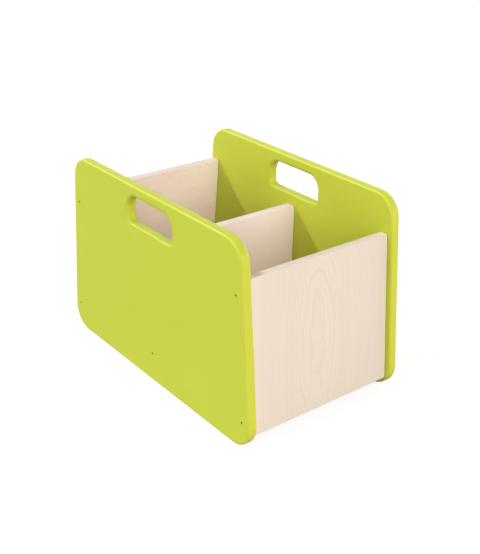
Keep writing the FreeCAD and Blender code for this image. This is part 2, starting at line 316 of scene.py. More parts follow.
class SharedEffect(ABC):
    """A shader node group, built once and placed in each material with values of its own."""

    title: ClassVar[str]
    takes: ClassVar[dict[str, float | Colour]]
    gives: ClassVar[tuple[str, ...]]

    @classmethod
    @abstractmethod
    def wire(cls, graph: Graph, given: dict[str, Signal]) -> dict[str, Signal]:
        """Wires the effect inside its group.

        Args:
            graph: The group's node tree.
            given: The group's inputs by name.

        Returns:
            The group's outputs by name.
        """

    @classmethod
    def tree(cls) -> bpy.types.ShaderNodeTree:
        """Finds the node group, or builds it the first time.

        Returns:
            The node group.
        """
        found = bpy.data.node_groups.get(cls.title)
        if found:
            return found
        tree = bpy.data.node_groups.new(cls.title, "ShaderNodeTree")
        for name, value in cls.takes.items():
            kind = "NodeSocketVector" if isinstance(value, tuple) else "NodeSocketFloat"
            tree.interface.new_socket(name=name, in_out="INPUT", socket_type=kind).default_value = value
        for name in cls.gives:
            tree.interface.new_socket(name=name, in_out="OUTPUT", socket_type="NodeSocketFloat")
        graph = Graph(tree)
        entry = graph.add("NodeGroupInput")
        given = {name: graph.out(entry, name) for name in cls.takes}
        graph.add("NodeGroupOutput", cls.wire(graph, given))
        return tree

    @classmethod
    def place(cls, graph: Graph, feeds: dict[str, Feed]) -> dict[str, Signal]:
        """Places the group in a material.

        Args:
            graph: The material's node tree.
            feeds: Signals or plain values for the group's inputs. The others keep their usual values.

        Returns:
            The group's outputs by name.
        """
        node = graph.add("ShaderNodeGroup", feeds, node_tree=cls.tree())
        return {name: graph.out(node, name) for name in cls.gives}


class WoodFigure(SharedEffect):
    """Growth rings cut by a board's face, with fine fibre along the grain and short dark flecks.

    The tree's heart lies behind the face. It comes nearer towards one end, so that the rings show as
    arches, or bows towards the face in the middle of its length, so that they close into long eyes.
    """

    title = "wood_figure"
    takes = {
        "Position": (0.0, 0.0, 0.0),
        "Ring Width": 0.0026,
        "Heart Across": 0.0,
        "Heart Drift": 0.0,
        "Heart Depth": 0.16,
        "Heart Taper": 0.055,
        "Heart Bow": 0.0,
        "Wander": 0.006,
        "Curl": 0.0,
        "Seed": 0.0,
    }
    gives = ("Ring", "Fibre", "Fleck", "Curl", "Height")

    wandering: ClassVar[Lumps] = Lumps(24.0, along=0.45, detail=3.0)
    shifting: ClassVar[Lumps] = Lumps(14.0, across=0.2, shift=3.0)
    streaks: ClassVar[Lumps] = Lumps(620.0, along=0.03, detail=3.0, rough=0.6)
    threads: ClassVar[Lumps] = Lumps(2600.0, along=0.02, detail=1.0)
    specks: ClassVar[Lumps] = Lumps(950.0, along=0.12, shift=7.0, detail=0.0)
    waves: ClassVar[Lumps] = Lumps(95.0, across=0.3, shift=11.0)
    late_wood: ClassVar[tuple[float, float]] = (0.25, 0.9)
    faintest_ring: ClassVar[float] = 0.2
    streak_share: ClassVar[float] = 0.65
    fleck_band: ClassVar[tuple[float, float]] = (0.74, 0.8)
    fibre_height: ClassVar[float] = 0.7

    @classmethod
    def wire(cls, graph: Graph, given: dict[str, Signal]) -> dict[str, Signal]:
        """Wires the rings, the fibre, the flecks and the curl.

        Args:
            graph: The group's node tree.
            given: The group's inputs by name.

        Returns:
            The group's outputs by name.
        """
        position, seed = given["Position"], given["Seed"]
        across, through, along = graph.split(position)

        wander = cls.wandering.noise(graph, position, seed) - 0.5
        shift = cls.shifting.noise(graph, position, seed) - 0.5
        aside = across - given["Heart Across"] - given["Heart Drift"] * along + shift * given["Wander"]
        nearer = given["Heart Taper"] * along + given["Heart Bow"] * along.squared()
        behind = given["Heart Depth"] + nearer + through
        radius = (aside.squared() + behind.squared()).root() + wander * given["Wander"]
        count = radius / given["Ring Width"]
        late = count.fraction()
        late_start, late_end = cls.late_wood
        strength = graph.chance(count.floor() + seed) * (1.0 - cls.faintest_ring) + cls.faintest_ring
        ring = late.rise(late_start, late_end) * late.rise(late_end, 1.0).inverted() * strength

        streaks = cls.streaks.noise(graph, position, seed) * cls.streak_share
        fibre = streaks + cls.threads.noise(graph, position, seed) * (1.0 - cls.streak_share)
        fleck = cls.specks.noise(graph, position, seed).rise(*cls.fleck_band)
        curl = (cls.waves.noise(graph, position, seed) - 0.5) * given["Curl"]
        height = fibre * cls.fibre_height + ring * (1.0 - cls.fibre_height)
        return {"Ring": ring, "Fibre": fibre, "Fleck": fleck, "Curl": curl, "Height": height}


class PlywoodLayers(SharedEffect):
    """The plies of a plywood board: which of them end here with their fibres cut across, and the glue."""

    title = "plywood_layers"
    takes = {
        "Position": (0.0, 0.0, 0.0),
        "Grain Axis": (0.0, 0.0, 1.0),
        "Cross Axis": (1.0, 0.0, 0.0),
        "Thickness": 0.015,
        "Plies": 11.0,
        "Seed": 0.0,
    }
    gives = ("End Grain", "Glue", "Ply Tone", "Pores")

    swaying: ClassVar[Lumps] = Lumps(45.0)
    pitting: ClassVar[Lumps] = Lumps(1500.0, rough=0.7)
    shallowest: ClassVar[float] = 0.001
    sway_in_plies: ClassVar[float] = 0.12
    face_ply: ClassVar[tuple[float, float]] = (0.5, 0.6)
    glue_band: ClassVar[tuple[float, float]] = (0.04, 0.13)
    pore_band: ClassVar[tuple[float, float]] = (0.45, 0.7)

    @classmethod
    def wire(cls, graph: Graph, given: dict[str, Signal]) -> dict[str, Signal]:
        """Wires the plies by their depth in the board.

        Args:
            graph: The group's node tree.
            given: The group's inputs by name.

        Returns:
            The group's outputs by name.
        """
        position, seed = given["Position"], given["Seed"]
        through = graph.split(position)[1]
        depth = graph.math("MAXIMUM", through / given["Thickness"] + 0.5, cls.shallowest)
        depth = graph.math("MINIMUM", depth, 1.0 - cls.shallowest)
        sway = cls.swaying.noise(graph, position, seed) - 0.5
        layer = depth * given["Plies"] + sway * cls.sway_in_plies
        turned = graph.math("MODULO", layer.floor(), 2.0)
        part = layer.fraction()
        seam = graph.math("MINIMUM", part, part.inverted())
        inside = layer.rise(*cls.face_ply) * (given["Plies"] - layer).rise(*cls.face_ply)

        cut_along = graph.facing(given["Grain Axis"]).squared()
        cut_across = graph.facing(given["Cross Axis"]).squared()
        end_grain = cut_along * turned.inverted() + cut_across * turned
        glue = seam.rise(*cls.glue_band).inverted() * inside
        tone = graph.chance(layer.floor() + seed)
        pores = cls.pitting.noise(graph, position, seed).rise(*cls.pore_band) * end_grain
        return {"End Grain": end_grain, "Glue": glue, "Ply Tone": tone * inside, "Pores": pores}


class LacquerSkin(SharedEffect):
    """The skin of a sprayed lacquer: its fine orange peel, and slow changes of sheen and of colour."""

    title = "lacquer_skin"
    takes = {"Position": (0.0, 0.0, 0.0), "Peel Size": 0.0016, "Seed": 0.0}
    gives = ("Peel", "Sheen", "Tint")

    peel_rough: ClassVar[float] = 0.4
    sheen: ClassVar[Lumps] = Lumps(26.0, shift=5.0, detail=3.0, rough=0.6)
    tint: ClassVar[Lumps] = Lumps(7.0, shift=9.0)

    @classmethod
    def wire(cls, graph: Graph, given: dict[str, Signal]) -> dict[str, Signal]:
        """Wires the peel and the two slow changes.

        Args:
            graph: The group's node tree.
            given: The group's inputs by name.

        Returns:
            The group's outputs by name.
        """
        position, seed = given["Position"], given["Seed"]
        lumps = graph.math("DIVIDE", 1.0, given["Peel Size"])
        peel = graph.noise(position, lumps, seed, rough=cls.peel_rough)
        sheen = cls.sheen.noise(graph, position, seed)
        return {"Peel": peel, "Sheen": sheen, "Tint": cls.tint.noise(graph, position, seed)}


class EdgeWear(SharedEffect):
    """The rounded arrises between a board's faces and its edges, and where handling has rubbed them."""

    title = "edge_wear"
    takes = {"Position": (0.0, 0.0, 0.0), "Face Axis": (1.0, 0.0, 0.0), "Patch Size": 0.02, "Seed": 0.0}
    gives = ("Arris", "Wear")

    to_full_at_45_degrees: ClassVar[float] = 4.0
    patch_detail: ClassVar[float] = 4.0
    patch_rough: ClassVar[float] = 0.65
    rubbed_band: ClassVar[tuple[float, float]] = (0.45, 0.7)

    @classmethod
    def wire(cls, graph: Graph, given: dict[str, Signal]) -> dict[str, Signal]:
        """Wires the arris mask and the rubbed patches in it.

        Args:
            graph: The group's node tree.
            given: The group's inputs by name.

        Returns:
            The group's outputs by name. The mask is 1 halfway round an arris, at 45 degrees.
        """
        square = graph.facing(given["Face Axis"]).squared()
        arris = square * square.inverted() * cls.to_full_at_45_degrees
        lumps = graph.math("DIVIDE", 1.0, given["Patch Size"])
        patches = graph.noise(given["Position"], lumps, given["Seed"], cls.patch_detail, cls.patch_rough)
        return {"Arris": arris, "Wear": arris * patches.rise(*cls.rubbed_band)}


# ---- Finishes


class Finish(ABC):
    """A surface finish that makes its own material."""

    name: str

    @abstractmethod
    def wire(self, graph: Graph) -> Signal:
        """Wires the material's nodes.

        Args:
            graph: The material's empty node tree.

        Returns:
            The shader.
        """

    def material(self) -> bpy.types.Material:
        """Finds the finish's material, or makes it the first time.

        Returns:
            The material.
        """
        found = bpy.data.materials.get(self.name)
        if found:
            return found
        material = bpy.data.materials.new(self.name)
        material.use_nodes = True
        graph = Graph(material.node_tree)
        graph.add("ShaderNodeOutputMaterial", {"Surface": self.wire(graph)})
        return material


def object_position(graph: Graph) -> Signal:
    """Where the surface is in the bin's own frame, in metres."""
    return graph.out(graph.add("ShaderNodeTexCoord"), "Object")


def uneven(skin: dict[str, Signal], middle: float, change: float) -> Signal:
    """A roughness that drifts about a middle value with the sheen of a lacquer's skin."""
    return skin["Sheen"] * change + (middle - change / 2)


@dataclass(frozen=True)
class GreenLacquer(Finish):
    """Satin opaque lime green lacquer, yellower on the arrises (thinner lacquer and a painted highlight) and
    brighter on the panels' ends (painted light).
    """

    name: str = "lime_green_lacquer"
    colour: Colour = (0.535, 0.597, 0.052)
    deep_colour: Colour = (0.520, 0.585, 0.050)
    # Yellower on the arrises: partly thinner lacquer, partly a painted highlight.
    arris_colour_and_highlight: Colour = (0.560, 0.560, 0.050)
    # Painted light: a brighter, yellower colour for the faces that face along Y, the panels' ends.
    end_colour: Colour = (0.640, 0.632, 0.056)
    rubbed_colour: Colour = (0.640, 0.640, 0.120)
    tint_band: tuple[float, float] = (0.3, 0.7)
    lit_end_band: tuple[float, float] = (0.75, 0.95)
    arris_share: float = 0.7
    rubbed_share: float = 0.3
    roughness: float = 0.40
    sheen_change: float = 0.1
    rubbed_roughness: float = 0.06
    refraction: float = 1.38
    shine: float = 0.3
    peel_rise: float = 0.00001
    hole_arris: float = 0.010
    hole_reach: float = 0.12
    hole_low: float = 0.25
    hole_high: float = 0.407
    hole_samples: int = 8
    seed: float = 2.0

    def wire(self, graph: Graph) -> Signal:
        """Wires the lacquer.

        Args:
            graph: The material's empty node tree.

        Returns:
            The shader.
        """
        position = object_position(graph)
        skin = LacquerSkin.place(graph, {"Position": position, "Seed": self.seed})
        wear = EdgeWear.place(graph, {"Position": position, "Seed": self.seed})
        colour = graph.mix(skin["Tint"].rise(*self.tint_band), self.colour, self.deep_colour)
        # Arrises mixed towards a yellower colour: partly thinner lacquer, partly a painted highlight.
        colour = graph.mix(wear["Arris"] * self.arris_share, colour, self.arris_colour_and_highlight)
        # Painted light: the panels' ends, which face along Y, are mixed towards the brighter end colour.
        ends = graph.facing((0.0, 1.0, 0.0)).rise(*self.lit_end_band)
        colour = graph.mix(ends, colour, self.end_colour)
        colour = graph.mix(wear["Wear"] * self.rubbed_share, colour, self.rubbed_colour)
        rough = uneven(skin, self.roughness, self.sheen_change) + wear["Wear"] * self.rubbed_roughness
        radius = self.near_hole(graph, position)
        eased = graph.add("ShaderNodeBevel", {"Radius": radius}, samples=self.hole_samples)
        feeds = {
            "Base Color": colour,
            "Roughness": rough,
            "IOR": self.refraction,
            "Specular IOR Level": self.shine,
            "Normal": graph.bump(skin["Peel"], self.peel_rise, graph.out(eased)),
        }
        return graph.out(graph.add("ShaderNodeBsdfPrincipled", feeds))

    def near_hole(self, graph: Graph, position: Signal) -> Signal:
        """The radius over which the hand hole's arrises look eased.

        Args:
            graph: The material's node tree.
            position: Where the surface is.

        Returns:
            The radius around the hand hole, and 0 elsewhere.
        """
        _, along, up = graph.split(position)
        beside = graph.math("LESS_THAN", graph.math("ABSOLUTE", along), self.hole_reach)
        under = graph.math("LESS_THAN", up, self.hole_high)
        return beside * under * graph.math("GREATER_THAN", up, self.hole_low) * self.hole_arris


class Figure(Enum):
    """The figure of a board's face veneer, as values of the wood figure group."""

    CATHEDRAL = {
        "Ring Width": 0.0022,
        "Heart Across": -0.010,
        "Heart Drift": 0.05,
        "Heart Depth": 0.15,
        "Heart Taper": 0.012,
        "Heart Bow": 0.26,
        "Wander": 0.0095,
        "Curl": 0.15,
    }
    CURLY = {
        "Ring Width": 0.25,
        "Heart Across": 0.12,
        "Heart Drift": 0.03,
        "Heart Depth": 0.24,
        "Heart Taper": 0.02,
        "Wander": 0.008,
        "Curl": 2.4,
    }
    STRAIGHT = {
        "Ring Width": 0.003,
        "Heart Across": 0.26,
        "Heart Drift": 0.02,
        "Heart Depth": 0.12,
        "Heart Taper": 0.02,
        "Wander": 0.005,
        "Curl": 0.35,
    }


@dataclass(frozen=True)
class Veneer:
    """The face veneer of a board: its figure, and its colour between and in the growth rings."""

    figure: Figure
    colour: Colour = (0.830, 0.712, 0.588)
    ring_colour: Colour = (0.690, 0.555, 0.425)


@dataclass(frozen=True)
class BoardPlace:
    """Where a flat board lies, measured from its solid. Every board's faces hold the bin's X axis."""

    centre: Vector
    thickness: float
    lean: float

    @classmethod
    def measure(cls, node: str) -> "BoardPlace":
        """Measures a board.

        Args:
            node: The board's node.

        Returns:
            Its middle, its thickness and its lean about X, in radians.
        """
        mesh = frame["nodes"][node].data
        normal = max(mesh.polygons, key=lambda polygon: polygon.area).normal
        lean = math.atan(normal.z / normal.y) if abs(normal.y) > NEARLY_NIL else math.pi / 2
        turn = Matrix.Rotation(-lean, 3, "X")
        points = [turn @ vertex.co for vertex in mesh.vertices]
        low = Vector(min(point[axis] for point in points) for axis in range(3))
        high = Vector(max(point[axis] for point in points) for axis in range(3))
        return cls(turn.inverted() @ ((low + high) / 2), high.y - low.y, lean)

    def axis(self, x: float, y: float, z: float) -> Vector:
        """Turns a direction in the board's own frame into the bin's frame."""
        return Matrix.Rotation(self.lean, 3, "X") @ Vector((x, y, z))


@dataclass(frozen=True)
class BirchPlywood(Finish):
    """Clear satin lacquer over birch plywood, with the plies and glue lines on its edges."""

    name: str
    place: BoardPlace
    veneer: Veneer
    seed: float
    plies: float = 11.0
    fleck_colour: Colour = (0.45, 0.30, 0.19)
    end_colour: Colour = (0.735, 0.640, 0.620)
    glue_colour: Colour = (0.55, 0.41, 0.32)
    ring_share: float = 0.42
    fibre_share: float = 0.22
    curl_share: float = 0.35
    ply_share: float = 0.12
    palest_tint: float = 0.1
    tint_share: float = 0.3
    fleck_share: float = 0.12
    end_share: float = 0.8
    glue_share: float = 0.75
    arris_share: float = 0.35
    rubbed_share: float = 0.2
    roughness: float = 0.40
    sheen_change: float = 0.12
    end_roughness: float = 0.12
    refraction: float = 1.42
    peel_size: float = 0.003
    peel_height: float = 0.3
    pore_depth: float = 0.8
    glue_depth: float = 0.5
    grain_rise: float = 0.00004

    def wire(self, graph: Graph) -> Signal:
        """Wires the wood.

        Args:
            graph: The material's empty node tree.

        Returns:
            The shader.
        """
        turned = {"Location": self.place.centre, "Rotation": (self.place.lean, 0.0, 0.0)}
        turned["Vector"] = object_position(graph)
        position = graph.out(graph.add("ShaderNodeMapping", turned, vector_type="TEXTURE"))
        common = {"Position": position, "Seed": self.seed}

        wood = WoodFigure.place(graph, common | self.veneer.figure.value)
        sizes = {"Thickness": self.place.thickness, "Plies": self.plies}
        layers = PlywoodLayers.place(graph, common | sizes | {"Grain Axis": self.place.axis(0, 0, 1)})
        skin = LacquerSkin.place(graph, common | {"Peel Size": self.peel_size})
        wear = EdgeWear.place(graph, common | {"Face Axis": self.place.axis(0, 1, 0)})

        tone = wood["Ring"] * self.ring_share + (wood["Fibre"] - 0.5) * self.fibre_share
        tone = tone + wood["Curl"] * self.curl_share + layers["Ply Tone"] * self.ply_share
        tone = graph.math("ADD", tone, (skin["Tint"] - self.palest_tint) * self.tint_share, clamp=True)
        cut = layers["End Grain"] * self.end_share + layers["Pores"] * (1.0 - self.end_share)
        edge = wear["Arris"] * self.arris_share + wear["Wear"] * self.rubbed_share
        colour = graph.mix(tone, self.veneer.colour, self.veneer.ring_colour)
        colour = graph.mix(wood["Fleck"] * self.fleck_share, colour, self.fleck_colour)
        colour = graph.mix(cut, colour, self.end_colour)
        colour = graph.mix(layers["Glue"] * self.glue_share, colour, self.glue_colour)
        colour = graph.mix(edge, colour, self.veneer.ring_colour)
        rough = uneven(skin, self.roughness, self.sheen_change) + layers["End Grain"] * self.end_roughness
        height = wood["Height"] + skin["Peel"] * self.peel_height
        height = height - layers["Pores"] * self.pore_depth - layers["Glue"] * self.glue_depth
        feeds = {
            "Base Color": colour,
            "Roughness": rough,
            "IOR": self.refraction,
            "Normal": graph.bump(height, self.grain_rise),
        }
        return graph.out(graph.add("ShaderNodeBsdfPrincipled", feeds))


@dataclass(frozen=True)
class BareBeech(Finish):
    """Bare beech, as dowels are: pinkish brown with short dark flecks along the grain, and no lacquer."""

    name: str = "bare_beech"
    colour: Colour = (0.60, 0.40, 0.25)
    ring_colour: Colour = (0.44, 0.26, 0.15)
    fleck_colour: Colour = (0.26, 0.13, 0.07)
    ring_width: float = 0.0022
    heart_depth: float = 0.05
    ring_share: float = 0.5
    palest_fibre: float = 0.3
    fibre_share: float = 0.8
    fleck_share: float = 0.8
    roughness: float = 0.625
    sheen_change: float = 0.15
    peel_size: float = 0.004
    grain_rise: float = 0.00005
    seed: float = 31.0

    def wire(self, graph: Graph) -> Signal:
        """Wires the bare wood.

        Args:
            graph: The material's empty node tree.

        Returns:
            The shader.
        """
        turned = {"Vector": object_position(graph), "Rotation": (0.0, math.pi / 2, 0.0)}
        position = graph.out(graph.add("ShaderNodeMapping", turned))
        common = {"Position": position, "Seed": self.seed}
        rings = {"Ring Width": self.ring_width, "Heart Depth": self.heart_depth}
        wood = WoodFigure.place(graph, common | rings)
        skin = LacquerSkin.place(graph, common | {"Peel Size": self.peel_size})
        fibre = (wood["Fibre"] - self.palest_fibre) * self.fibre_share
        tone = graph.math("ADD", wood["Ring"] * self.ring_share, fibre, clamp=True)
        colour = graph.mix(tone, self.colour, self.ring_colour)
        colour = graph.mix(wood["Fleck"] * self.fleck_share, colour, self.fleck_colour)
        feeds = {
            "Base Color": colour,
            "Roughness": uneven(skin, self.roughness, self.sheen_change),
            "Normal": graph.bump(wood["Height"], self.grain_rise),
        }
        return graph.out(graph.add("ShaderNodeBsdfPrincipled", feeds))


@dataclass(frozen=True)
class PaintedHead(Finish):
    """The screw heads, painted to match the side panels, with the paint worn off at their rims."""

    name: str = "painted_screw_head"
    colour: Colour = (0.50, 0.56, 0.035)
    worn_colour: Colour = (0.36, 0.38, 0.20)
    speckled_band: tuple[float, float] = (0.5, 0.8)
    speckled_share: float = 0.2
    roughness: float = 0.42
    sheen_change: float = 0.2
    peel_size: float = 0.0007
    patch_size: float = 0.003
    peel_rise: float = 0.00001
    seed: float = 41.0

    def wire(self, graph: Graph) -> Signal:
        """Wires the paint.

        Args:
            graph: The material's empty node tree.

        Returns:
            The shader.
        """
        common = {"Position": object_position(graph), "Seed": self.seed}
        skin = LacquerSkin.place(graph, common | {"Peel Size": self.peel_size})
        wear = EdgeWear.place(graph, common | {"Patch Size": self.patch_size})
        speckles = skin["Peel"].rise(*self.speckled_band) * self.speckled_share
        colour = graph.mix(wear["Wear"], self.colour, self.worn_colour)
        feeds = {
            "Base Color": graph.mix(speckles, colour, self.worn_colour),
            "Roughness": uneven(skin, self.roughness, self.sheen_change),
            "Normal": graph.bump(skin["Peel"], self.peel_rise),
        }
        return graph.out(graph.add("ShaderNodeBsdfPrincipled", feeds))


@dataclass(frozen=True)
class ZincSteel(Finish):
    """Zinc-plated steel of the screws' shanks and sockets, dulled and darker in places."""

    name: str = "zinc_plated_steel"
    colour: Colour = (0.42, 0.42, 0.40)
    dull_colour: Colour = (0.20, 0.20, 0.18)
    spots: Lumps = Lumps(420.0, detail=3.0)
    spot_band: tuple[float, float] = (0.4, 0.7)
    dull_metal: float = 0.8
    bright_metal: float = 0.95
    roughness: float = 0.385
    sheen_change: float = 0.25
    peel_size: float = 0.0005
    peel_rise: float = 0.000006
    seed: float = 51.0

    def wire(self, graph: Graph) -> Signal:
        """Wires the plating.

        Args:
            graph: The material's empty node tree.

        Returns:
            The shader.
        """
        position = object_position(graph)
        common = {"Position": position, "Seed": self.seed}
        skin = LacquerSkin.place(graph, common | {"Peel Size": self.peel_size})
        spots = self.spots.noise(graph, position, self.seed).rise(*self.spot_band)
        feeds = {
            "Base Color": graph.mix(spots, self.colour, self.dull_colour),
            "Metallic": spots.inverted() * (self.bright_metal - self.dull_metal) + self.dull_metal,
            "Roughness": uneven(skin, self.roughness, self.sheen_change),
            "Normal": graph.bump(skin["Peel"], self.peel_rise),
        }
        return graph.out(graph.add("ShaderNodeBsdfPrincipled", feeds))


@dataclass(frozen=True)
class PaleFloor(Finish):
    """Matt studio floor.

    Seen by the camera it is nearly as white as the backdrop, with the bin's soft shadow left on it.
    For every other ray it is plain grey paint.
    """

    name: str = "pale_studio_floor"
    colour: Colour = (0.50, 0.50, 0.495)
    scuffed_colour: Colour = (0.45, 0.45, 0.45)
    scuffs: Lumps = Lumps(9.0, detail=4.0)
    scuffed_share: float = 0.04
    roughness: float = 0.5
    seen_colour: Colour = (0.16, 0.16, 0.16)
    seen_glow: float = 0.885
    seed: float = 61.0

    def wire(self, graph: Graph) -> Signal:
        """Wires the floor.

        Args:
            graph: The material's empty node tree.

        Returns:
            The shader.
        """
        scuffs = self.scuffs.noise(graph, object_position(graph), self.seed)
        paint = graph.mix(scuffs * self.scuffed_share, self.colour, self.scuffed_colour)
        matt = {"Color": paint, "Roughness": self.roughness}
        plain = graph.out(graph.add("ShaderNodeBsdfDiffuse", matt))
        shadowed = graph.out(graph.add("ShaderNodeBsdfDiffuse", {"Color": opaque(self.seen_colour)}))
        glow = graph.out(graph.add("ShaderNodeEmission", {"Strength": self.seen_glow}))
        seen = graph.out(graph.add("ShaderNodeAddShader", {0: shadowed, 1: glow}))
        camera_ray = graph.out(graph.add("ShaderNodeLightPath"), "Is Camera Ray")
        return graph.out(graph.add("ShaderNodeMixShader", {0: camera_ray, 1: plain, 2: seen}))


# ---- Meshes


@dataclass(frozen=True)
class Extent:
    """The lowest and highest corners of one solid."""

    low: Vector
    high: Vector

    @property
    def middle(self) -> Vector:
        """The point halfway between the corners."""
        return (self.low + self.high) / 2

    @property
    def size(self) -> Vector:
        """How long the solid is each way."""
        return self.high - self.low


def solids_in(node: str) -> Iterator[Extent]:
    """Finds the separate solids in one node.

    Args:
        node: A node whose solids don't touch each other.

    Yields:
        The extent of each solid, in the order of their lowest vertices.
    """
    mesh = bmesh.new()
    mesh.from_mesh(frame["nodes"][node].data)
    bmesh.ops.remove_doubles(mesh, verts=mesh.verts, dist=NEARLY_NIL)
    left = set(mesh.verts)
    for start in list(mesh.verts):
        if start not in left:
            continue
        left.discard(start)
        found = [start]
        for vertex in found:
            near = {edge.other_vert(vertex) for edge in vertex.link_edges} & left
            left -= near
            found.extend(near)
        yield Extent(
            Vector(min(vertex.co[axis] for vertex in found) for axis in range(3)),
            Vector(max(vertex.co[axis] for vertex in found) for axis in range(3)),
        )
    mesh.free()


Ring = list[Vector]
Radius = float | Callable[[float], float]


def turned_ring(height: float, radius: Radius, segments: int) -> Ring:
    """One ring of a turned, grooved or broached form.

    Args:
        height: How far along the axis it lies.
        radius: The radius all round, or what gives it at each angle in radians.
        segments: How many points the ring has.

    Returns:
        The ring's points about the Z axis.
    """
    ring = []
    for index in range(segments):
        angle = 2 * math.pi * index / segments
        out = radius(angle) if callable(radius) else radius
        ring.append(Vector((out * math.cos(angle), out * math.sin(angle), height)))
    return ring


def loft(mesh: bmesh.types.BMesh, rings: Sequence[Ring]) -> list[bmesh.types.BMFace]:
    """Joins rings with as many points each into a closed skin.

    Args:
        mesh: The mesh to add it to.
        rings: The rings, in order. The first and the last are closed with a flat face.

    Returns:
        The faces, ring by ring, with the two end faces last.
    """
    rows = [[mesh.verts.new(point) for point in ring] for ring in rings]
    count = len(rows[0])
    faces = []
    for lower, upper in zip(rows, rows[1:]):
        for index in range(count):
            after = (index + 1) % count
            faces.append(mesh.faces.new((lower[index], lower[after], upper[after], upper[index])))
    faces.append(mesh.faces.new(list(reversed(rows[0]))))
    faces.append(mesh.faces.new(rows[-1]))
    return faces


def finished_piece(
    name: str, mesh: bmesh.types.BMesh, materials: Sequence[bpy.types.Material]
) -> bpy.types.Object:
    """Turns a built mesh into an object of the scene.

    Args:
        name: The piece's name.
        mesh: The mesh, in the bin's frame. It is freed.
        materials: The materials that the faces' indices stand for.

    Returns:
        The object, smooth but for its sharp edges.
    """
    bmesh.ops.recalc_face_normals(mesh, faces=mesh.faces)
    for edge in mesh.edges:
        edge.smooth = edge.calc_face_angle(0.0) < math.radians(SHARP_EDGE)
    for face in mesh.faces:
        face.smooth = True
    data = bpy.data.meshes.new(name)
    mesh.to_mesh(data)
    mesh.free()
    for material in materials:
        data.materials.append(material)
    piece = bpy.data.objects.new(name, data)
    bpy.context.scene.collection.objects.link(piece)
    return piece


# ---- Sub-assemblies


def dress(node: str, finish: Finish) -> None:
    """Gives a node's solid its finish, in every material slot that it has.

    Args:
        node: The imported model's node.
        finish: Its finish.
    """
    for slot in frame["nodes"][node].material_slots:
        slot.material = finish.material()
    LOG.info("%s: %s", node, finish.name)


@dataclass
class SidePanels:
    """The two lacquered side panels, which carry everything else."""

    nodes: tuple[str, str] = ("side_panel_left", "side_panel_right")
    finish: GreenLacquer = field(default_factory=GreenLacquer)

    @property
    def inner_face(self) -> float:
        """How far from the middle of the bin a panel's inner face lies."""
        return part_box(self.nodes[1])[0].x

    def dress(self) -> None:
        """Lacquers both panels."""
        for node in self.nodes:
            dress(node, self.finish)


@dataclass
class CrossBoards:
    """The plywood between the panels: two leaning end boards, the divider and the base."""

    veneers: dict[str, Veneer] = field(
        default_factory=lambda: {
            "front_board": Veneer(Figure.CATHEDRAL),
            # Painted light: the rear board, divider and base get lighter, pinker veneer colours than the
            # front board, to offset the shade and green bounce inside the bin.
            "rear_board": Veneer(Figure.CURLY, (0.905, 0.752, 0.680), (0.775, 0.607, 0.515)),
            "middle_divider": Veneer(Figure.STRAIGHT, (0.940, 0.780, 0.770), (0.805, 0.635, 0.585)),
            "base_board": Veneer(Figure.CATHEDRAL, (0.905, 0.745, 0.625), (0.775, 0.600, 0.470)),
        }
    )
    first_seed: float = 4.0
    seed_step: float = 3.7

    def dress(self) -> None:
        """Gives each board its own veneer, turned the way the board leans."""
        for index, (node, veneer) in enumerate(self.veneers.items()):
            seed = self.first_seed + self.seed_step * index
            dress(node, BirchPlywood(f"{node}_birch", BoardPlace.measure(node), veneer, seed))


